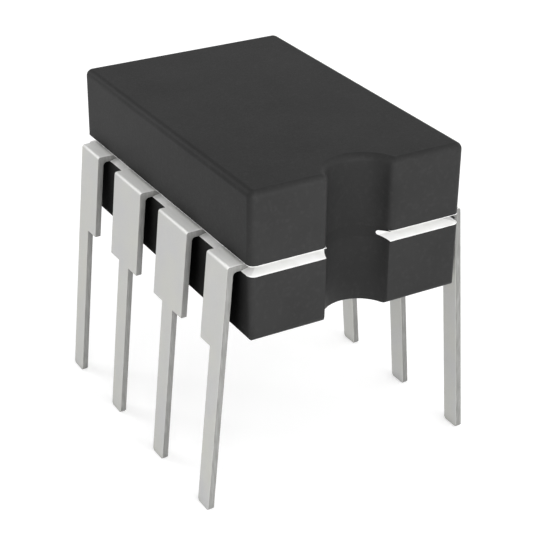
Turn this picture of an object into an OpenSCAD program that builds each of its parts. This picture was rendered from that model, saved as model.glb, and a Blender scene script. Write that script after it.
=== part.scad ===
// Eight-lead ceramic dual in-line package: a pressed base and cap, sealed with glass round a lead frame.
// +Z is up, +Y is the long way, the notch is at the -Y end, and Z = 0 is the level of the lead tips.
// Seen from above with the notch at the far end, lead 1 is left of it and the count runs anticlockwise.

/* [Ceramic halves] */
// Length of the body along the lead rows
body_l = 9.04; // [8.9:0.02:9.6]
// Width of the body between the lead rows
body_w = 5.94; // [5.7:0.02:6.2]
// Height of the base
base_h = 1.74; // [1.4:0.01:2.1]
// Height of the cap
cap_h = 1.87; // [1.6:0.01:2.3]
// Rounding of the pressed edges
edge_r = 0.18; // [0.06:0.01:0.24]
// Radius of the index notch
notch_r = 0.92; // [0.7:0.02:1.1]
// How far the notch's axis stands outside the end face
notch_out = 0.2; // [0:0.02:0.4]

/* [Seal glass] */
// Thickness of the glass between the leads and the cap
glass_over = 0.11; // [0.06:0.01:0.14]
// Depth of the groove that the glass leaves round the edge
groove_d = 0.37; // [0.2:0.01:0.42]
// Radius at the root of that groove
groove_root_r = 0.06; // [0.03:0.01:0.08]
// Height of the glass that is flush with the ceramic above and below the groove
groove_lip = 0.01; // [0.005:0.005:0.02]

/* [Leads] */
// Distance between neighbouring leads
pitch = 2.54; // [2.5:0.01:2.56]
// Distance between the middles of the two rows at the lead tips
row_spacing = 7.62; // [7.5:0.02:8.2]
// Thickness of the lead frame
lead_t = 0.17; // [0.15:0.01:0.26]
// Width of a lead's tail
tail_w = 0.56; // [0.4:0.02:0.66]
// Width of a lead's shoulder
shoulder_w = 1.53; // [1.2:0.01:1.65]
// Gap between the body's side and a leg, just below the bend
bend_gap = 0.19; // [0.16:0.01:0.3]
// How far the shoulders reach below the body
standoff = 0.41; // [0.38:0.01:0.9]
// How far the tips reach below the body
lead_drop = 4.8; // [3.6:0.01:5.2]
// Radius inside the bend
bend_r_in = 0.1; // [0.05:0.01:0.16]
// Radius outside the bend
bend_r_out = 0.08; // [0.04:0.01:0.16]
// Size of the chamfer at a tip's corners
tip_chamfer = 0.06; // [0.02:0.01:0.12]

/* [Chamber] */
// Length of the chamber in the cap
chamber_l = 5.0; // [4.6:0.1:5.4]
// Width of the chamber in the cap
chamber_w = 3.5; // [3.3:0.1:3.9]
// Height of the chamber above the seal
chamber_h = 0.6; // [0.4:0.05:0.9]
// Corner radius of the chamber
chamber_r = 0.35; // [0.15:0.05:0.5]
// Length of the die well in the base
well_l = 3.2; // [3:0.1:3.6]
// Width of the die well in the base
well_w = 2.2; // [2:0.1:2.3]
// Depth of the die well
well_d = 0.45; // [0.4:0.05:0.8]
// Corner radius of the die well
well_r = 0.2; // [0.1:0.05:0.4]
// How far a bond finger stands back from the well's edge
finger_gap = 0.12; // [0.06:0.02:0.2]
// Width of a bond finger at its tip
finger_w = 0.42; // [0.3:0.02:0.5]
// Distance from a side finger's tip to the chip's cross axis
side_finger_y = 0.7; // [0.6:0.05:0.9]
// Distance from a corner finger's tip to the chip's long axis
corner_finger_x = 0.8; // [0.5:0.05:0.85]
// How far a shoulder keeps its full width inside the glass
root_l = 0.5; // [0.4:0.05:0.6]
// Width of the neck behind a side finger's tip
neck_w = 0.65; // [0.5:0.05:0.8]
// Distance of that neck from the tip
neck_l = 0.7; // [0.5:0.05:0.9]

/* [Die and wires] */
// Thickness of the gold pad on the well's floor
pad_t = 0.03; // [0.02:0.01:0.05]
// Gap between the gold pad and the well's wall
pad_gap = 0.1; // [0.05:0.05:0.2]
// Thickness of the die attach
attach_t = 0.03; // [0.02:0.01:0.05]
// How far the die attach shows round the die
attach_rim = 0.08; // [0.04:0.02:0.14]
// Length of the silicon die
die_l = 2.2; // [1.8:0.1:2.6]
// Width of the silicon die
die_w = 1.4; // [1.2:0.1:1.6]
// Thickness of the silicon die
die_t = 0.38; // [0.2:0.02:0.5]
// Distance of a wire's foot on the die from the die's edge
die_foot_in = 0.14; // [0.1:0.02:0.2]
// Distance between the two feet along a long edge of the die
side_feet = 1.0; // [0.6:0.1:1.4]
// Distance between the two feet along a short edge of the die
end_feet = 0.7; // [0.4:0.1:0.9]
// Distance of a wire's foot on a finger from the finger's tip
finger_foot_in = 0.1; // [0.06:0.02:0.14]
// Diameter of a bond wire
wire_d = 0.04; // [0.03:0.01:0.05]
// Length of a wire's flat foot
wire_foot = 0.14; // [0.1:0.02:0.2]
// Height of a wire's loop above its straight line
wire_loop = 0.28; // [0.2:0.02:0.34]

/* [Hidden] */
$fn = 48;
row_count = 4;

// Colours as the photograph shows them
ceramic_colour = "#444444";
glass_colour = "#F2F2EE";
lead_colour = "#C4C4C2";
gold_colour = "#C9A24A";
attach_colour = "#B8B4A8";
die_colour = "#5A6270";
wire_colour = "#D8D8DA";

// Levels, from the lead tips up
base_bottom = lead_drop;
base_top = base_bottom + base_h;
lead_top = base_top + lead_t;
cap_bottom = lead_top + glass_over;
cap_top = cap_bottom + cap_h;
seal_t = cap_bottom - base_top;
shoulder_end = base_bottom - standoff;
well_floor = base_top - well_d;
pad_top = well_floor + pad_t;
attach_top = pad_top + attach_t;
die_top = attach_top + die_t;

// The legs: a leg's middle line is at row_spacing / 2 at the tip, and its inner face is bend_gap
// from the body at the base's top, which gives the angle at which it splays outwards
leg_run = (row_spacing - body_w) / 2 - bend_gap;
splay = acos(lead_t / (2 * norm([leg_run, base_top]))) - atan2(base_top, leg_run);
leg_half_t = lead_t / (2 * cos(splay));
function leg_outer(z) = row_spacing / 2 + leg_half_t - z * tan(splay);
function leg_inner(z) = row_spacing / 2 - leg_half_t - z * tan(splay);

// Places of the fingers, and of the wires' feet on fingers and die, for the leads at +X and +Y
root_x = body_w / 2 - root_l;
side_tip = [well_w / 2 + finger_gap, side_finger_y];
corner_tip = [corner_finger_x, well_l / 2 + finger_gap];
side_bond = side_tip + [finger_foot_in + wire_foot, 0];
corner_bond = corner_tip + [0, finger_foot_in + wire_foot];
side_foot = [die_w / 2 - die_foot_in, side_feet / 2];
corner_foot = [end_feet / 2, die_l / 2 - die_foot_in];

wire_sides = 8;
wire_steps = 14;
overcut = 1;
// How far a finger's outline runs on into its shoulder
root_lap = 0.25;

// A lead's place in its row: 1 to 4 on the +X side away from the notch, 5 to 8 back on the -X side
function side_sign(i) = i <= row_count ? 1 : -1;
function row_place(i) = i <= row_count ? i : 2 * row_count + 1 - i;
function row_y(i) = (row_place(i) - (row_count + 1) / 2) * pitch;
function is_corner(i) = row_place(i) == 1 || row_place(i) == row_count;
function quadrant(i) = [side_sign(i), sign(row_y(i))];

module rounded_rectangle(size, r) {
    difference() {
        square(size, center = true);
        for (sx = [-1, 1], sy = [-1, 1])
            translate([sx * size.x / 2, sy * size.y / 2])
                difference() {
                    square(2 * r, center = true);
                    translate([-sx * r, -sy * r])
                        circle(r);
                }
    }
}

// The notch through both halves, with its edge at the cap's top rounded
module notch_cut() {
    translate([0, -body_l / 2 - notch_out, 0]) {
        translate([0, 0, base_bottom - overcut])
            cylinder(r = notch_r, h = cap_top - base_bottom + 2 * overcut);
        translate([0, 0, cap_top])
            notch_flare();
    }
}

// What rounds the notch's edge where it meets the top at z = 0
module notch_flare() {
    rotate_extrude()
        translate([notch_r, 0])
            difference() {
                translate([-edge_r, -edge_r])
                    square([2 * edge_r, 2 * edge_r]);
                translate([edge_r, -edge_r])
                    circle(edge_r);
            }
}

// A block from z = 0 up to h, with its upright and its top edges rounded
module pressed_block(h) {
    intersection() {
        linear_extrude(h)
            rounded_rectangle([body_w, body_l], edge_r);
        rotate([90, 0, 0])
            linear_extrude(body_l + 2 * overcut, center = true)
                rounded_rectangle([body_w, 2 * h], edge_r);
        rotate([90, 0, 90])
            linear_extrude(body_w + 2 * overcut, center = true)
                rounded_rectangle([body_l, 2 * h], edge_r);
    }
}

module ceramic_base() {
    color(ceramic_colour)
        difference() {
            translate([0, 0, base_top])
                mirror([0, 0, 1])
                    pressed_block(base_h);
            translate([0, 0, well_floor])
                linear_extrude(well_d + overcut)
                    rounded_rectangle([well_w, well_l], well_r);
            notch_cut();
        }
}

module ceramic_cap() {
    color(ceramic_colour)
        difference() {
            translate([0, 0, cap_bottom])
                pressed_block(cap_h);
            translate([0, 0, cap_bottom - overcut])
                linear_extrude(chamber_h + overcut)
                    rounded_rectangle([chamber_w, chamber_l], chamber_r);
            notch_cut();
        }
}

// The groove's section: x runs into the glass from the body's side, y is height from its middle
module groove_section() {
    mouth = seal_t / 2 - groove_lip;
    root_x_in = groove_d - groove_root_r;
    reach = norm([root_x_in, mouth]);
    touch = 180 - atan2(mouth, root_x_in) - acos(groove_root_r / reach);
    touch_x = root_x_in + groove_root_r * cos(touch);
    touch_y = groove_root_r * sin(touch);
    polygon([
        [-overcut, mouth], [0, mouth], [touch_x, touch_y],
        [touch_x, -touch_y], [0, -mouth], [-overcut, -mouth]
    ]);
    translate([root_x_in, 0])
        circle(groove_root_r);
}

// The groove along one straight side: far is the side's distance from the middle
module groove(far, turn) {
    rotate([0, 0, turn])
        translate([far, 0, base_top + seal_t / 2])
            rotate([90, 0, 0])
                linear_extrude(2 * body_l, center = true)
                    mirror([1, 0, 0])
                        groove_section();
}

module seal_glass() {
    color(glass_colour)
        difference() {
            translate([0, 0, base_top])
                linear_extrude(seal_t)
                    difference() {
                        rounded_rectangle([body_w, body_l], edge_r);
                        rounded_rectangle([chamber_w, chamber_l], chamber_r);
                    }
            notch_cut();
            for (end = [0, 1]) {
                groove(body_w / 2, 180 * end);
                groove(body_l / 2, 90 + 180 * end);
            }
            for (i = [1:2 * row_count])
                lead_solid(i);
        }
}

// A lead seen from the end: flat in the glass, bent down outside it, and splayed
module lead_side_view() {
    outer = [leg_outer(lead_top), lead_top];
    inner = [leg_inner(base_top), base_top];
    down = [sin(splay), -cos(splay)];
    // From a corner to where its arc begins: the flat and the leg meet at 90 degrees plus the splay
    set_out = bend_r_out / tan(45 + splay / 2);
    set_in = bend_r_in / tan(45 + splay / 2);
    outer_centre = outer - [set_out, bend_r_out];
    inner_centre = inner - [set_in, bend_r_in];
    difference() {
        polygon([
            [0, lead_top], outer, [leg_outer(0), 0], [leg_inner(0), 0],
            inner + set_in * down, inner_centre, [inner_centre.x, base_top], [0, base_top]
        ]);
        translate(inner_centre)
            circle(bend_r_in);
        difference() {
            polygon([
                [outer_centre.x, lead_top], outer_centre, outer + set_out * down,
                outer + [overcut, 0], outer + [0, overcut]
            ]);
            translate(outer_centre)
                circle(bend_r_out);
        }
    }
}

// A lead seen from the side, with y along the row: shoulder, tail and chamfered tip
module lead_front_view(y, corner) {
    far = y + (corner ? tail_w : shoulder_w) / 2;
    near = y - shoulder_w / 2;
    left = y - tail_w / 2;
    right = y + tail_w / 2;
    polygon(concat(
        [[near, lead_top + overcut], [far, lead_top + overcut]],
        corner ? [] : [[far, shoulder_end], [right, shoulder_end]],
        [
            [right, tip_chamfer], [right - tip_chamfer, 0],
            [left + tip_chamfer, 0], [left, tip_chamfer],
            [left, shoulder_end], [near, shoulder_end]
        ]
    ));
}

// A lead seen from above, from the shoulder's end in the glass to the bond finger's tip
module finger_plan(y, corner) {
    far = y + (corner ? tail_w : shoulder_w) / 2;
    near = y - shoulder_w / 2;
    half = finger_w / 2;
    root = [[root_x + root_lap, near], [root_x + root_lap, far], [root_x, far]];
    if (corner)
        polygon(concat(root, [
            [corner_tip.x - half, corner_tip.y + 2 * finger_w],
            [corner_tip.x - half, corner_tip.y], [corner_tip.x + half, corner_tip.y],
            [corner_tip.x + half, corner_tip.y + finger_w], [root_x, near]
        ]));
    else
        polygon(concat(root, [
            [side_tip.x + neck_l, side_tip.y - half + neck_w],
            [side_tip.x, side_tip.y + half], [side_tip.x, side_tip.y - half],
            [side_tip.x + neck_l, side_tip.y - half], [root_x, near]
        ]));
}

module lead_solid(i) {
    y = abs(row_y(i));
    corner = is_corner(i);
    mirror([quadrant(i).x < 0 ? 1 : 0, 0, 0])
        mirror([0, quadrant(i).y < 0 ? 1 : 0, 0])
            intersection() {
                rotate([90, 0, 0])
                    linear_extrude(2 * body_l, center = true)
                        lead_side_view();
                union() {
                    translate([root_x, 0, 0])
                        rotate([90, 0, 90])
                            linear_extrude(row_spacing)
                                lead_front_view(y, corner);
                    translate([0, 0, base_top - overcut])
                        linear_extrude(lead_t + 2 * overcut)
                            finger_plan(y, corner);
                }
            }
}

module lead(i) {
    color(lead_colour)
        lead_solid(i);
}

module die_pad() {
    color(gold_colour)
        translate([0, 0, well_floor])
            linear_extrude(pad_t)
                rounded_rectangle([well_w - 2 * pad_gap, well_l - 2 * pad_gap], well_r);
}

module die_attach() {
    color(attach_colour)
        translate([0, 0, pad_top])
            linear_extrude(attach_t)
                rounded_rectangle([die_w + 2 * attach_rim, die_l + 2 * attach_rim], attach_rim);
}

module silicon_die() {
    color(die_colour)
        translate([0, 0, attach_top])
            linear_extrude(die_t)
                square([die_w, die_l], center = true);
}

// Points from a foot at a to a foot at b, flat at both ends and looped between them
function wire_path(a, b) =
    let (
        flat = [b.x - a.x, b.y - a.y, 0],
        way = flat / norm(flat),
        start = a + wire_foot * way,
        end = b - wire_foot * way
    )
    concat([a], [
        for (k = [0:wire_steps])
            let (t = k / wire_steps)
            start + (end - start) * t + [0, 0, wire_loop * sin(180 * t)]
    ], [b]);

// A tube of flat-bottomed rings along a path that stays in one upright plane
module swept_wire(path) {
    count = len(path);
    flat = [path[count - 1].x - path[0].x, path[count - 1].y - path[0].y, 0];
    across = cross([0, 0, 1], flat / norm(flat));
    radius = wire_d / 2;
    rings = [
        for (k = [0:count - 1])
            let (
                tangent = path[min(k + 1, count - 1)] - path[max(k - 1, 0)],
                up = cross(tangent / norm(tangent), across)
            )
            for (s = [0:wire_sides - 1])
                let (angle = 360 * (s + 0.5) / wire_sides)
                path[k] + radius * (cos(angle) * across + sin(angle) * up)
    ];
    sides = [
        for (k = [0:count - 2], s = [0:wire_sides - 1])
            let (n = (s + 1) % wire_sides, low = k * wire_sides, high = low + wire_sides)
            [low + s, high + s, high + n, low + n]
    ];
    first = [for (s = [0:wire_sides - 1]) s];
    last = [for (s = [wire_sides - 1:-1:0]) (count - 1) * wire_sides + s];
    polyhedron(rings, concat([first], sides, [last]));
}

module bond_wire(i) {
    // The rings' flat undersides lie on the die and on the finger
    lift = wire_d / 2 * cos(180 / wire_sides);
    foot = is_corner(i) ? corner_foot : side_foot;
    bond = is_corner(i) ? corner_bond : side_bond;
    q = quadrant(i);
    color(wire_colour)
        swept_wire(wire_path(
            [q.x * foot.x, q.y * foot.y, die_top + lift],
            [q.x * bond.x, q.y * bond.y, lead_top + lift]
        ));
}

ceramic_base();
ceramic_cap();
seal_glass();
for (i = [1:2 * row_count])
    lead(i);
die_pad();
die_attach();
silicon_die();
for (i = [1:2 * row_count])
    bond_wire(i);
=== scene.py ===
"""The looks of an eight-lead ceramic dual in-line package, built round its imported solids."""

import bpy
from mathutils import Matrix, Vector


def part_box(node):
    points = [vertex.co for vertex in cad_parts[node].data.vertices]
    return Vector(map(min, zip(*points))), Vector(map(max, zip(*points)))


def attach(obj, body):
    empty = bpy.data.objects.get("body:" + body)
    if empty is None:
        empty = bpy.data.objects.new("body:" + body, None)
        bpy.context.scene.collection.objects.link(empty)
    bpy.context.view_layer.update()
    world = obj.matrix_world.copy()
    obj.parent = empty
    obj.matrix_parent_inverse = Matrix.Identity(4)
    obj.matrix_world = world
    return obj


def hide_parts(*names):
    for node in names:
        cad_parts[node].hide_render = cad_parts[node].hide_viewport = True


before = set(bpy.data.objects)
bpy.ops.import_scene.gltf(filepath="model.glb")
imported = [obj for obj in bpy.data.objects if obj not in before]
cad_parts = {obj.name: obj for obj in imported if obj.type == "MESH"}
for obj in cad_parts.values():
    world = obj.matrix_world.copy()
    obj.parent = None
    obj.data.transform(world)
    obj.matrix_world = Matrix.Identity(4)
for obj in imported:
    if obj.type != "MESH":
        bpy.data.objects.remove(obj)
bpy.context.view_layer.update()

import math

import bmesh
import bpy
from mathutils import Matrix, Vector

MM = 0.001

# The camera that was fitted to the photograph, whose width is IMAGE_PX
IMAGE_PX = 550
FOCAL_PX = 1535.0
SENSOR_MM = 36.0
CAMERA_PLACE_MM = (-18.300, -31.473, 23.260)
CAMERA_AZIMUTH_DEG = 30.687
CAMERA_ELEVATION_DEG = 28.184
CAMERA_ROLL_DEG = 0.763
CLIP_NEAR_MM = 1
CLIP_FAR_MM = 10000

# Sizes in millimetres that the solids have too
EDGE_RADIUS = 0.18
NOTCH_RADIUS = 0.92
NOTCH_OUT = 0.2
CHAMBER = {"length": 5.0, "width": 3.5, "depth": 0.6, "radius": 0.35}

# The cap's upright corners, in millimetres. In the solid those beside the notch are sharp.
CORNER_RADIUS = 0.2

# Edges that the solids leave sharp, eased by a few hundredths of a millimetre
MATING_EDGE = 0.02
SHEARED_EDGE = 0.02

# Segments in a rounded edge, in an eased one and in the notch
EDGE_STEPS = 6
FINE_STEPS = 2
NOTCH_STEPS = 40

# Edges sharper than the first angle stay sharp to the eye, faces flatter to each other than the
# second are joined, and corners nearer than MERGE are one.
SHARP_ANGLE = math.radians(50)
FLAT_ANGLE = math.radians(0.5)
MERGE = 0.0002 * MM

# The range in which most of a noise pattern's values lie
NOISE_RANGE = {"From Min": 0.3, "From Max": 0.7}

# Dark alumina: tones, shine, and its patterns' sizes in millimetres. The granules are those of the
# pressed powder. The fired grains are a few thousandths wide and are drawn coarser, so that they show.
ALUMINA_DARK = "#292929"
ALUMINA_PALE = "#2D2D2D"
ALUMINA_FLECK = "#424242"
ALUMINA_GLOSS = 0.055
ALUMINA_SMOOTH = 0.41
ALUMINA_ROUGH = 0.51
PRESSED_CLOUD = 1.3
PRESSED_GRANULE = 0.12
FIRED_GRAIN = 0.035
FLECK_RANGE = {"From Min": 0.52, "From Max": 0.7}
FLECK_SHARE = 0.12
GRANULE_SHARE = 0.4
ALUMINA_RELIEF = 0.0025

# How far the ceramic's painted shade reaches, in millimetres, how fast it deepens, and to what tone.
# Its colour is darkened towards black, and its shine lowered, in gaps and recesses, where shade falls.
CERAMIC_REACH = 1.1
CERAMIC_SHADE = 1.8
PAINTED_SHADE_BLACK = "#000000"

# Seal glass. Its crystals are drawn coarser than they are, too. Its grey tone is painted shade in the
# groove.
GLASS_DULL = "#E2E2E0"
GLASS_WHITE = "#ECECEC"
GLASS_PAINTED_SHADE = "#70706E"
GLASS_GLOSS = 0.35
GLASS_SMOOTH = 0.38
GLASS_ROUGH = 0.5
GLASS_CLOUD = 0.35
GLASS_CRYSTAL = 0.02
CRYSTAL_SHARE = 0.5
GLASS_RELIEF = 0.002
# How far the painted shade in the glass's groove reaches, in millimetres, and how fast it deepens
GROOVE_REACH = 0.27
GROOVE_SHADE = 0.2

# Glass this close to the notch's wall is dark, and this far from it pale, in millimetres. A mesh's
# corner that is nearer than the second counts as on the wall.
WALL_DARK = 0.004
WALL_PALE = 0.01

# Tin plate, and the alloy's sheared edges. Tin's crystals are drawn coarser than they are.
TIN_COOL = "#B7B7B7"
TIN_WARM = "#BBBBB5"
TIN_SPARK = "#E4E4E2"
# Painted light: the tone that surfaces facing up are made paler to.
TIN_PAINTED_TOP_LIGHT = "#ECECEA"
# Painted shade: the tone that the leads fall to in gaps.
TIN_PAINTED_SHADE = "#30302E"
TIN_METALLIC = 0.12
TIN_SMOOTH = 0.5
TIN_ROUGH = 0.6
TIN_CLOUD = 1.1
TIN_CRYSTAL = 0.03
SPARK_SHARE = 0.12
# How far the tin's painted shade in gaps reaches, in millimetres, and how fast it deepens
TIN_REACH = 0.25
TIN_SHADE = 0.3
TIN_RELIEF = 0.0015
# The sheared edges' tones: darker than the plate partly in their own right and partly as painted shade
# from the dark body that they reflect.
SHEARED_AND_SHADED_DARK = "#6E6E6C"
SHEARED_AND_SHADED_PALE = "#848482"
SHEARED_ROUGH = 0.62
SHEAR_STREAK = 0.05
STREAK_STRETCH = (1.0, 1.0, 0.12)

# How far a lead's surface faces up where the painted light on its top starts and is full, and how far it
# faces along the row where the sheared edges' tone, darker partly as painted shade, starts and is full
PAINTED_TOP_LIGHT_RANGE = {"From Min": 0.2, "From Max": 0.8}
SHEARED_RANGE = {"From Min": 0.55, "From Max": 0.9}

# What the sealed chamber holds, with its patterns' sizes in millimetres
GOLD_DEEP = "#B98E38"
GOLD_BRIGHT = "#DDB560"
GOLD_ROUGH = 0.42
GOLD_SMOOTH = 0.26
GOLD_PASTE = 0.09
GOLD_RELIEF = 0.004
SILVER_DARK = "#8E8A80"
SILVER_BRIGHT = "#D2CEC4"
SILVER_METALLIC = 0.6
SILVER_ROUGH = 0.7
SILVER_SMOOTH = 0.4
SILVER_FLAKE = 0.03
SILVER_RELIEF = 0.005
SILICON_OXIDE = "#39414F"
SILICON_METALLIC = 0.35
SILICON_SMOOTH = 0.18
SILICON_ROUGH = 0.34
SILICON_BLOCK = 1 / 7
BLOCK_UNEVEN = 0.7
BLOCK_EDGE = 0.6
CHIP_LINES = {"Brick Width": 0.09, "Row Height": 0.03, "Mortar Size": 0.004,
              "Color1": "#4C5668", "Color2": "#66748A", "Mortar": "#8E8468"}
WIRE_DULL = "#C6C6C8"
WIRE_BRIGHT = "#E6E6E8"
WIRE_SMOOTH = 0.26
WIRE_ROUGH = 0.38
WIRE_MARK = 0.012

# White card, and the glow that makes it white where it is seen
CARD = "#DEDEDE"
CARD_ROUGH = 0.9
CARD_GLOW = 0.42
CARD_RADIUS_MM = 1000
CARD_STEPS = 64

# The studio's light along each axis: where a change in brightness starts and ends, and its values
# there. It is dimmer at the left, brighter in front and dimmer overhead.
STUDIO_LIGHT = {"X": {"From Min": -0.7, "From Max": 0.7, "To Min": 0.56, "To Max": 1.17},
                "Y": {"From Min": -0.7, "From Max": 0.6, "To Min": 1.35, "To Max": 0.75},
                "Z": {"From Min": 0.1, "From Max": 0.9, "To Min": 1.0, "To Max": 0.78}}

# Square lamps: place and side in millimetres, and power in watts. All face the body.
LAMPS = {"front_lamp": ((10, -90, 25), 60, 0.06),
         "front_left_lamp": ((-38, -62, 14), 30, 0.022),
         "back_left_lamp": ((-47, 76, 51), 50, 0.028)}
LAMP_AIM_MM = (0, 0, 6)

# A Mix node's sockets: its share, its two numbers or colours, and the colour that comes out
SHARE, NUMBER_A, NUMBER_B, COLOUR_A, COLOUR_B = 0, 2, 3, 6, 7
MIXED_COLOUR = 2

LEAD_NODES = tuple(f"lead_{i}" for i in range(1, 9))
WIRE_NODES = tuple(f"bond_wire_{i}" for i in range(1, 9))


def linear(hex_colour):
    """The linear RGBA of an sRGB hex colour."""
    channels = [int(hex_colour[i:i + 2], 16) / 255 for i in (1, 3, 5)]
    return [c / 12.92 if c <= 0.04045 else ((c + 0.055) / 1.055) ** 2.4 for c in channels] + [1.0]


def fill_sockets(node, sockets):
    """Gives each socket a number, a hex colour or another node's output."""
    for name, given in sockets.items():
        if isinstance(given, bpy.types.NodeSocket):
            node.id_data.links.new(given, node.inputs[name])
        else:
            node.inputs[name].default_value = linear(given) if isinstance(given, str) else given


def add_node(tree, kind, sockets, output=0, **settings):
    """Adds a shader node with its settings and sockets, and gives back one of its outputs."""
    node = tree.nodes.new("ShaderNode" + kind)
    for name, value in settings.items():
        setattr(node, name, value)
    fill_sockets(node, sockets)
    return node.outputs[output]


def new_material(name):
    """A material, its node tree and its principled shader."""
    material = bpy.data.materials.new(name)
    material.use_nodes = True
    tree = material.node_tree
    return material, tree, next(n for n in tree.nodes if n.type == "BSDF_PRINCIPLED")


def in_mm(tree):
    """The object's own coordinates in millimetres, so that a pattern's scale is 1 / its size."""
    place = add_node(tree, "TexCoord", {}, "Object")
    return add_node(tree, "VectorMath", {"Vector": place, "Scale": 1 / MM}, operation="SCALE")


def openness(tree, reach_mm, power):
    """1 on open surfaces, falling to 0 in narrow gaps; colours are darkened by it as painted shade."""
    open_share = add_node(tree, "AmbientOcclusion", {"Distance": reach_mm * MM}, "AO", samples=8)
    return add_node(tree, "Math", {0: open_share, 1: power}, operation="POWER")


def dark_alumina():
    """Black-pigmented alumina, dry pressed and fired. The pressed powder leaves a fine even grain
    and cloudy patches that differ a little in tone, and the eye sees a matte charcoal grey."""
    material, tree, shader = new_material("dark_alumina")
    place = in_mm(tree)
    cloud = add_node(tree, "TexNoise", {"Vector": place, "Scale": 1 / PRESSED_CLOUD, "Detail": 4.0})
    granule = add_node(tree, "TexNoise", {"Vector": place, "Scale": 1 / PRESSED_GRANULE, "Detail": 3.0})
    grain = add_node(tree, "TexNoise", {"Vector": place, "Scale": 1 / FIRED_GRAIN, "Detail": 2.0})
    patch = add_node(tree, "MapRange", {"Value": cloud, **NOISE_RANGE})
    fleck = add_node(tree, "MapRange", {"Value": granule, **FLECK_RANGE, "To Max": FLECK_SHARE})
    body = add_node(tree, "Mix", {SHARE: patch, COLOUR_A: ALUMINA_DARK, COLOUR_B: ALUMINA_PALE},
                    MIXED_COLOUR, data_type="RGBA")
    flecked = add_node(tree, "Mix", {SHARE: fleck, COLOUR_A: body, COLOUR_B: ALUMINA_FLECK},
                       MIXED_COLOUR, data_type="RGBA")
    # Painted shade: in gaps and recesses the colour falls towards black and the shine fades.
    free = openness(tree, CERAMIC_REACH, CERAMIC_SHADE)
    height = add_node(tree, "Mix", {SHARE: GRANULE_SHARE, NUMBER_A: grain, NUMBER_B: granule})
    fill_sockets(shader, {
        "Base Color": add_node(tree, "Mix", {SHARE: free, COLOUR_A: PAINTED_SHADE_BLACK, COLOUR_B: flecked},
                               MIXED_COLOUR, data_type="RGBA"),
        "Specular IOR Level": add_node(tree, "Math", {0: free, 1: ALUMINA_GLOSS}, operation="MULTIPLY"),
        "Roughness": add_node(tree, "MapRange", {"Value": grain, **NOISE_RANGE, "To Min": ALUMINA_SMOOTH,
                                                 "To Max": ALUMINA_ROUGH}),
        "Normal": add_node(tree, "Bump", {"Height": height, "Distance": ALUMINA_RELIEF * MM})})
    return material


def fired_seal_glass():
    """Crystallised solder glass, melted between the halves: opaque and nearly white, with tiny
    crystals. Where it wets the notch's wall it takes up pigment and fires as dark as the ceramic."""
    material, tree, shader = new_material("fired_seal_glass")
    place = in_mm(tree)
    milk = add_node(tree, "TexNoise", {"Vector": place, "Scale": 1 / GLASS_CLOUD, "Detail": 3.0})
    crystal = add_node(tree, "TexNoise", {"Vector": place, "Scale": 1 / GLASS_CRYSTAL, "Detail": 2.0})
    patch = add_node(tree, "MapRange", {"Value": milk, **NOISE_RANGE})
    milky = add_node(tree, "Mix", {SHARE: patch, COLOUR_A: GLASS_DULL, COLOUR_B: GLASS_WHITE},
                     MIXED_COLOUR, data_type="RGBA")
    # Painted shade: deeper in the groove under the cap the glass falls to a grey tone.
    pale = add_node(tree, "Mix", {SHARE: openness(tree, GROOVE_REACH, GROOVE_SHADE),
                                  COLOUR_A: GLASS_PAINTED_SHADE, COLOUR_B: milky},
                    MIXED_COLOUR, data_type="RGBA")
    # Painted shade: near the notch's wall the glass takes the ceramic's colour, darkened towards black
    # in gaps, with its shine lowered.
    free = openness(tree, CERAMIC_REACH, CERAMIC_SHADE)
    dark = add_node(tree, "Mix", {SHARE: free, COLOUR_A: PAINTED_SHADE_BLACK, COLOUR_B: ALUMINA_DARK},
                    MIXED_COLOUR, data_type="RGBA")
    from_notch = add_node(tree, "VectorMath", {0: place, 1: (1.0, 1.0, 0.0), 2: notch_middle() / -MM},
                          operation="MULTIPLY_ADD")
    away = add_node(tree, "VectorMath", {0: from_notch}, "Value", operation="LENGTH")
    outside = add_node(tree, "MapRange", {"Value": away, "From Min": NOTCH_RADIUS + WALL_DARK,
                                          "From Max": NOTCH_RADIUS + WALL_PALE})
    dark_gloss = add_node(tree, "Math", {0: free, 1: ALUMINA_GLOSS}, operation="MULTIPLY")
    height = add_node(tree, "Mix", {SHARE: CRYSTAL_SHARE, NUMBER_A: milk, NUMBER_B: crystal})
    fill_sockets(shader, {
        "Base Color": add_node(tree, "Mix", {SHARE: outside, COLOUR_A: dark, COLOUR_B: pale},
                               MIXED_COLOUR, data_type="RGBA"),
        "Specular IOR Level": add_node(tree, "Mix", {SHARE: outside, NUMBER_A: dark_gloss,
                                                     NUMBER_B: GLASS_GLOSS}),
        "Roughness": add_node(tree, "MapRange", {"Value": crystal, **NOISE_RANGE, "To Min": GLASS_SMOOTH,
                                                 "To Max": GLASS_ROUGH}),
        "Normal": add_node(tree, "Bump", {"Height": height, "Distance": GLASS_RELIEF * MM})})
    return material


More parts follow.
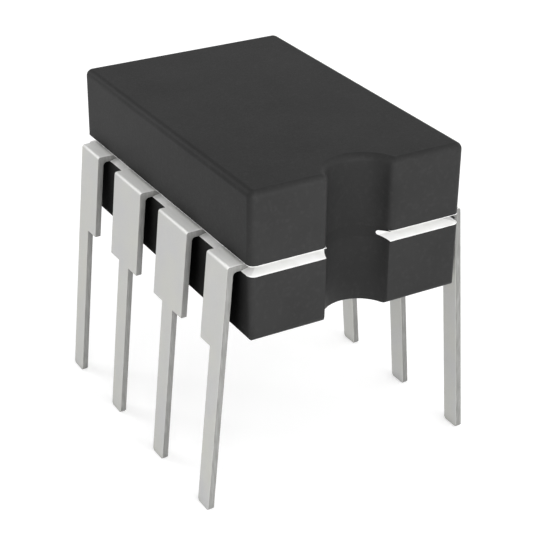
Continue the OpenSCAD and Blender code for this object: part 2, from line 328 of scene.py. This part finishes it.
def tin_plated_alloy():
    """Nickel-iron sheet, stamped, formed and matte tin plated. The plating shows as even pale grey
    with a fine crystal grain and faint warm clouds. Surfaces that face up are made paler, as painted
    light. The sheared edges are rougher, and darker partly in their own tone and partly as painted
    shade from the dark body that they reflect. In gaps the colour falls as painted shade."""
    material, tree, shader = new_material("tin_plated_alloy")
    place = in_mm(tree)
    cloud = add_node(tree, "TexNoise", {"Vector": place, "Scale": 1 / TIN_CLOUD, "Detail": 3.0})
    crystal = add_node(tree, "TexNoise", {"Vector": place, "Scale": 1 / TIN_CRYSTAL, "Detail": 2.0})
    along = add_node(tree, "VectorMath", {0: place, 1: STREAK_STRETCH}, operation="MULTIPLY")
    streak = add_node(tree, "TexNoise", {"Vector": along, "Scale": 1 / SHEAR_STREAK, "Detail": 3.0})
    warmth = add_node(tree, "MapRange", {"Value": cloud, **NOISE_RANGE})
    spark = add_node(tree, "MapRange", {"Value": crystal, **NOISE_RANGE, "To Max": SPARK_SHARE})
    scrape = add_node(tree, "MapRange", {"Value": streak, **NOISE_RANGE})
    facing = add_node(tree, "TexCoord", {}, "Normal")
    up = add_node(tree, "SeparateXYZ", {0: facing}, "Z")
    along_row = add_node(tree, "Math", {0: add_node(tree, "SeparateXYZ", {0: facing}, "Y")},
                         operation="ABSOLUTE")
    # Painted light: the more a surface faces up, the paler it is made.
    painted_top_light_share = add_node(tree, "MapRange", {"Value": up, **PAINTED_TOP_LIGHT_RANGE})
    edge = add_node(tree, "MapRange", {"Value": along_row, **SHEARED_RANGE})
    plate = add_node(tree, "Mix", {SHARE: warmth, COLOUR_A: TIN_COOL, COLOUR_B: TIN_WARM},
                     MIXED_COLOUR, data_type="RGBA")
    for share, tone in ((spark, TIN_SPARK), (painted_top_light_share, TIN_PAINTED_TOP_LIGHT)):
        plate = add_node(tree, "Mix", {SHARE: share, COLOUR_A: plate, COLOUR_B: tone},
                         MIXED_COLOUR, data_type="RGBA")
    # The sheared edges' tone: partly their own, partly painted shade from the dark body that they
    # reflect.
    sheared = add_node(tree, "Mix", {SHARE: scrape, COLOUR_A: SHEARED_AND_SHADED_DARK, COLOUR_B: SHEARED_AND_SHADED_PALE},
                       MIXED_COLOUR, data_type="RGBA")
    dressed = add_node(tree, "Mix", {SHARE: edge, COLOUR_A: plate, COLOUR_B: sheared},
                       MIXED_COLOUR, data_type="RGBA")
    # Painted shade: in gaps the colour falls to a deep tone.
    free = openness(tree, TIN_REACH, TIN_SHADE)
    plate_rough = add_node(tree, "MapRange", {"Value": crystal, **NOISE_RANGE, "To Min": TIN_SMOOTH,
                                              "To Max": TIN_ROUGH})
    height = add_node(tree, "Mix", {SHARE: edge, NUMBER_A: crystal, NUMBER_B: streak})
    fill_sockets(shader, {
        "Metallic": TIN_METALLIC,
        "Base Color": add_node(tree, "Mix", {SHARE: free, COLOUR_A: TIN_PAINTED_SHADE, COLOUR_B: dressed},
                               MIXED_COLOUR, data_type="RGBA"),
        "Roughness": add_node(tree, "Mix", {SHARE: edge, NUMBER_A: plate_rough,
                                            NUMBER_B: SHEARED_ROUGH}),
        "Normal": add_node(tree, "Bump", {"Height": height, "Distance": TIN_RELIEF * MM})})
    return material


def thick_film_gold():
    """Gold paste, printed in the well and fired: rich yellow, with the paste's fine unevenness."""
    material, tree, shader = new_material("thick_film_gold")
    paste = add_node(tree, "TexNoise", {"Vector": in_mm(tree), "Scale": 1 / GOLD_PASTE, "Detail": 4.0})
    patch = add_node(tree, "MapRange", {"Value": paste, **NOISE_RANGE})
    fill_sockets(shader, {
        "Metallic": 1.0,
        "Base Color": add_node(tree, "Mix", {SHARE: patch, COLOUR_A: GOLD_DEEP, COLOUR_B: GOLD_BRIGHT},
                               MIXED_COLOUR, data_type="RGBA"),
        "Roughness": add_node(tree, "Mix", {SHARE: patch, NUMBER_A: GOLD_ROUGH, NUMBER_B: GOLD_SMOOTH}),
        "Normal": add_node(tree, "Bump", {"Height": paste, "Distance": GOLD_RELIEF * MM})})
    return material


def silver_filled_glass():
    """Silver flakes in glass, fired under the die: a grey grainy bead with glints."""
    material, tree, shader = new_material("silver_filled_glass")
    flake = add_node(tree, "TexNoise", {"Vector": in_mm(tree), "Scale": 1 / SILVER_FLAKE, "Detail": 3.0})
    glint = add_node(tree, "MapRange", {"Value": flake, **NOISE_RANGE})
    fill_sockets(shader, {
        "Metallic": SILVER_METALLIC,
        "Base Color": add_node(tree, "Mix", {SHARE: glint, COLOUR_A: SILVER_DARK,
                                             COLOUR_B: SILVER_BRIGHT},
                               MIXED_COLOUR, data_type="RGBA"),
        "Roughness": add_node(tree, "Mix", {SHARE: glint, NUMBER_A: SILVER_ROUGH,
                                            NUMBER_B: SILVER_SMOOTH}),
        "Normal": add_node(tree, "Bump", {"Height": flake, "Distance": SILVER_RELIEF * MM})})
    return material


def processed_silicon():
    """A silicon chip under its oxide and metal layers: dark blue grey with fine square blocks. Its
    lines are drawn far coarser than a chip's own, so that they show."""
    material, tree, shader = new_material("processed_silicon")
    place = in_mm(tree)
    block = add_node(tree, "TexVoronoi", {"Vector": place, "Scale": 1 / SILICON_BLOCK,
                                          "Randomness": BLOCK_UNEVEN}, distance="CHEBYCHEV")
    lines = add_node(tree, "TexBrick", {"Vector": place, "Scale": 1.0, **CHIP_LINES})
    fill_sockets(shader, {
        "Metallic": SILICON_METALLIC,
        "Base Color": add_node(tree, "Mix", {SHARE: block, COLOUR_A: lines, COLOUR_B: SILICON_OXIDE},
                               MIXED_COLOUR, data_type="RGBA"),
        "Roughness": add_node(tree, "MapRange", {"Value": block, "From Max": BLOCK_EDGE,
                                                 "To Min": SILICON_SMOOTH, "To Max": SILICON_ROUGH})})
    return material


def drawn_aluminium():
    """Aluminium drawn through a die, whose fine marks show as small changes of tone and shine. They
    are drawn coarser than they are."""
    material, tree, shader = new_material("drawn_aluminium")
    mark = add_node(tree, "TexNoise", {"Vector": in_mm(tree), "Scale": 1 / WIRE_MARK, "Detail": 2.0})
    change = add_node(tree, "MapRange", {"Value": mark, **NOISE_RANGE})
    fill_sockets(shader, {
        "Metallic": 1.0,
        "Base Color": add_node(tree, "Mix", {SHARE: change, COLOUR_A: WIRE_DULL, COLOUR_B: WIRE_BRIGHT},
                               MIXED_COLOUR, data_type="RGBA"),
        "Roughness": add_node(tree, "Mix", {SHARE: change, NUMBER_A: WIRE_SMOOTH,
                                            NUMBER_B: WIRE_ROUGH})})
    return material


def dress(names, material):
    """Gives solids that stay as they are their finish."""
    for name in names:
        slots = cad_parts[name].data.materials
        slots.clear()
        slots.append(material)


def notch_middle(z=0.0):
    """The middle of the notch's arc, which lies outside the end of the body."""
    return Vector((0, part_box("ceramic_cap")[0].y - NOTCH_OUT * MM, z))


def on_notch_wall(place):
    """Whether a place is on the wall of the notch."""
    return abs((place.xy - notch_middle().xy).length - NOTCH_RADIUS * MM) < WALL_PALE * MM


def finish_piece(bm, name, material, slot, *nodes):
    """Makes a piece of a bmesh in place of the solids that it stands for."""
    bmesh.ops.recalc_face_normals(bm, faces=bm.faces)
    for face in bm.faces:
        face.smooth = True
    mesh = bpy.data.meshes.new(name)
    bm.to_mesh(mesh)
    bm.free()
    if "custom_normal" in mesh.attributes:
        mesh.attributes.remove(mesh.attributes["custom_normal"])
    mesh.set_sharp_from_angle(angle=SHARP_ANGLE)
    mesh.materials.append(material)
    piece = bpy.data.objects.new(name, mesh)
    bpy.context.scene.collection.objects.link(piece)
    even = piece.modifiers.new("even_shading", "WEIGHTED_NORMAL")
    even.keep_sharp = True
    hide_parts(*nodes)
    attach(piece, "root")


def cap_plan(bm, half_width, half_length, z):
    """The cap's face seen from above: a rectangle with the notch in its end, and with the corners
    between the end and the notch rounded."""
    lean = math.asin((NOTCH_OUT + CORNER_RADIUS) / (NOTCH_RADIUS + CORNER_RADIUS))
    reach = (NOTCH_RADIUS + CORNER_RADIUS) * MM * math.cos(lean)
    corner_y = CORNER_RADIUS * MM - half_length
    arcs = (((reach, corner_y, z), lean - math.pi / 2, EDGE_STEPS),
            (notch_middle(z), math.pi - 2 * lean, NOTCH_STEPS),
            ((-reach, corner_y, z), lean - math.pi / 2, EDGE_STEPS))
    first = last = bm.verts.new((reach, -half_length, z))
    for centre, angle, steps in arcs:
        bmesh.ops.spin(bm, geom=[last], cent=centre, axis=(0, 0, 1), angle=angle, steps=steps,
                       use_duplicate=False)
        bm.verts.ensure_lookup_table()
        last = bm.verts[-1]
    corners = [bm.verts.new((x * half_width, y * half_length, z))
               for x, y in ((-1, -1), (-1, 1), (1, 1), (1, -1))]
    path = [last] + corners + [first]
    for one, other in zip(path, path[1:]):
        bm.edges.new((one, other))
    return bmesh.ops.contextual_create(bm, geom=bm.edges[:])["faces"][0]


def round_edges(bm, edges, radius, steps):
    """Rounds edges to a radius in millimetres."""
    bmesh.ops.bevel(bm, geom=edges, offset=radius * MM, offset_type="OFFSET", segments=steps,
                    profile=0.5, affect="EDGES", material=-1)


def press_chamber(bm, z):
    """Presses the chamber, with its rounded corners, up into the flat face at height z."""
    face = max((f for f in bm.faces if abs(f.calc_center_median().z - z) < MERGE),
               key=lambda f: f.calc_area())
    rim = face.edges[:]
    bmesh.ops.delete(bm, geom=[face], context="FACES_ONLY")
    corners = [bm.verts.new((x * CHAMBER["width"] / 2 * MM, y * CHAMBER["length"] / 2 * MM, z))
               for x, y in ((-1, -1), (1, -1), (1, 1), (-1, 1))]
    for i, corner in enumerate(corners):
        bm.edges.new((corners[i - 1], corner))
    bmesh.ops.bevel(bm, geom=corners, offset=CHAMBER["radius"] * MM, offset_type="OFFSET",
                    segments=EDGE_STEPS, profile=0.5, affect="VERTICES", material=-1)
    inner = [e for e in bm.edges if not e.link_faces and e not in rim]
    bmesh.ops.triangle_fill(bm, use_beauty=True, edges=rim + inner)
    wall = bmesh.ops.extrude_edge_only(bm, edges=inner)["geom"]
    deep = [v for v in wall if isinstance(v, bmesh.types.BMVert)]
    bmesh.ops.translate(bm, verts=deep, vec=(0, 0, CHAMBER["depth"] * MM))
    bmesh.ops.contextual_create(bm, geom=[e for e in wall if isinstance(e, bmesh.types.BMEdge)])


def pressed_cap(material):
    """The cap: pressed up from its plan, with rounded outer edges, notch and chamber. Its lower edge,
    ground flat for the seal, is crisp."""
    low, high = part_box("ceramic_cap")
    bm = bmesh.new()
    plan = cap_plan(bm, high.x, high.y, low.z)
    grown = bmesh.ops.extrude_face_region(bm, geom=[plan], use_keep_orig=True)["geom"]
    bmesh.ops.translate(bm, verts=[v for v in grown if isinstance(v, bmesh.types.BMVert)],
                        vec=(0, 0, high.z - low.z))
    bmesh.ops.recalc_face_normals(bm, faces=bm.faces)
    upright = [e for e in bm.edges if abs(e.verts[0].co.z - e.verts[1].co.z) > MERGE
               and e.calc_face_angle() > SHARP_ANGLE]
    round_edges(bm, upright, CORNER_RADIUS, EDGE_STEPS)
    outer = [e for e in bm.edges if all(abs(v.co.z - high.z) < MERGE for v in e.verts)]
    round_edges(bm, outer, EDGE_RADIUS, EDGE_STEPS)
    press_chamber(bm, low.z)
    finish_piece(bm, "pressed_cap", material, "ceramic", "ceramic_cap")


def merged_copy(node):
    """A bmesh of a solid with its triangles joined up."""
    bm = bmesh.new()
    bm.from_mesh(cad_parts[node].data)
    bmesh.ops.remove_doubles(bm, verts=bm.verts, dist=MERGE)
    bmesh.ops.dissolve_limit(bm, angle_limit=FLAT_ANGLE, verts=bm.verts, edges=bm.edges)
    return bm


def eased_edges(bm):
    """Edges that a tool or a die has eased. Where the halves meet in the notch, none has."""
    top = max(v.co.z for v in bm.verts)
    return [e for e in bm.edges if e.is_manifold and e.calc_face_angle() > SHARP_ANGLE
            and not all(abs(v.co.z - top) < MERGE and on_notch_wall(v.co) for v in e.verts)]


def softened(node, name, radius, material, slot):
    """A piece like its solid, with the solid's sharp edges slightly rounded."""
    bm = merged_copy(node)
    round_edges(bm, eased_edges(bm), radius, FINE_STEPS)
    finish_piece(bm, name, material, slot, node)


def seen_by_eye(tree):
    """1 for the rays of the camera and of reflections, 0 for those that carry light on."""
    seen = 0.0
    for kind in ("Camera", "Glossy", "Transmission"):
        ray = add_node(tree, "LightPath", {}, f"Is {kind} Ray")
        seen = add_node(tree, "Math", {0: seen, 1: ray}, operation="MAXIMUM")
    return seen


def studio_floor():
    """White card under the lead tips. What is seen of it is white, and it keeps a faint shadow."""
    bm = bmesh.new()
    bmesh.ops.create_circle(bm, cap_ends=True, segments=CARD_STEPS, radius=CARD_RADIUS_MM * MM)
    mesh = bpy.data.meshes.new("floor")
    bm.to_mesh(mesh)
    bm.free()
    floor = bpy.data.objects.new("floor", mesh)
    bpy.context.scene.collection.objects.link(floor)
    material, tree, shader = new_material("white_card")
    fill_sockets(shader, {"Base Color": CARD, "Roughness": CARD_ROUGH, "Specular IOR Level": 0.0})
    seen = add_node(tree, "Math", {0: seen_by_eye(tree), 1: CARD_GLOW}, operation="MULTIPLY")
    glow = add_node(tree, "Emission", {"Strength": seen})
    output = next(n for n in tree.nodes if n.type == "OUTPUT_MATERIAL")
    fill_sockets(output, {"Surface": add_node(tree, "AddShader", {0: shader.outputs[0], 1: glow})})
    mesh.materials.append(material)


def studio_world():
    """A pale studio: bright at the front, where the notch is, and dimmer at the left, behind and
    overhead. The camera sees it plain white."""
    world = bpy.data.worlds.new("studio")
    bpy.context.scene.world = world
    world.use_nodes = True
    tree = world.node_tree
    way = add_node(tree, "TexCoord", {}, "Generated")
    light = 1.0
    for axis, change in STUDIO_LIGHT.items():
        part = add_node(tree, "SeparateXYZ", {0: way}, axis)
        level = add_node(tree, "MapRange", {"Value": part, **change})
        light = add_node(tree, "Math", {0: light, 1: level}, operation="MULTIPLY")
    seen = add_node(tree, "LightPath", {}, "Is Camera Ray")
    strength = add_node(tree, "Mix", {SHARE: seen, NUMBER_A: light, NUMBER_B: 1.0})
    background = next(n for n in tree.nodes if n.type == "BACKGROUND")
    fill_sockets(background, {"Color": "#FFFFFF", "Strength": strength})


def soft_lamp(name, place_mm, size_mm, power):
    """A square lamp that faces the body."""
    data = bpy.data.lights.new(name, "AREA")
    data.shape = "SQUARE"
    data.size = size_mm * MM
    data.energy = power
    lamp = bpy.data.objects.new(name, data)
    bpy.context.scene.collection.objects.link(lamp)
    way = Vector(LAMP_AIM_MM) - Vector(place_mm)
    lamp.matrix_world = (Matrix.Translation(Vector(place_mm) * MM)
                         @ way.to_track_quat("-Z", "Y").to_matrix().to_4x4())


def camera():
    """The camera that sees the part as the photograph does."""
    data = bpy.data.cameras.new("camera")
    data.sensor_width = SENSOR_MM
    data.sensor_fit = "HORIZONTAL"
    data.lens = FOCAL_PX * SENSOR_MM / IMAGE_PX
    data.clip_start = CLIP_NEAR_MM * MM
    data.clip_end = CLIP_FAR_MM * MM
    made = bpy.data.objects.new("camera", data)
    bpy.context.scene.collection.objects.link(made)
    turn = (Matrix.Rotation(-math.radians(CAMERA_AZIMUTH_DEG), 4, "Z")
            @ Matrix.Rotation(math.radians(90 - CAMERA_ELEVATION_DEG), 4, "X")
            @ Matrix.Rotation(math.radians(CAMERA_ROLL_DEG), 4, "Z"))
    made.matrix_world = Matrix.Translation(Vector(CAMERA_PLACE_MM) * MM) @ turn
    bpy.context.scene.camera = made


alumina = dark_alumina()
pressed_cap(alumina)
softened("ceramic_base", "pressed_base", MATING_EDGE, alumina, "ceramic")
plating = tin_plated_alloy()
for lead in LEAD_NODES:
    softened(lead, "formed_" + lead, SHEARED_EDGE, plating, "lead")
dress(("seal_glass",), fired_seal_glass())
dress(("die_pad",), thick_film_gold())
dress(("die_attach",), silver_filled_glass())
dress(("silicon_die",), processed_silicon())
dress(WIRE_NODES, drawn_aluminium())

studio_floor()
studio_world()
for lamp, (place, size, power) in LAMPS.items():
    soft_lamp(lamp, place, size, power)
camera()

bpy.context.scene.view_settings.view_transform = "Standard"
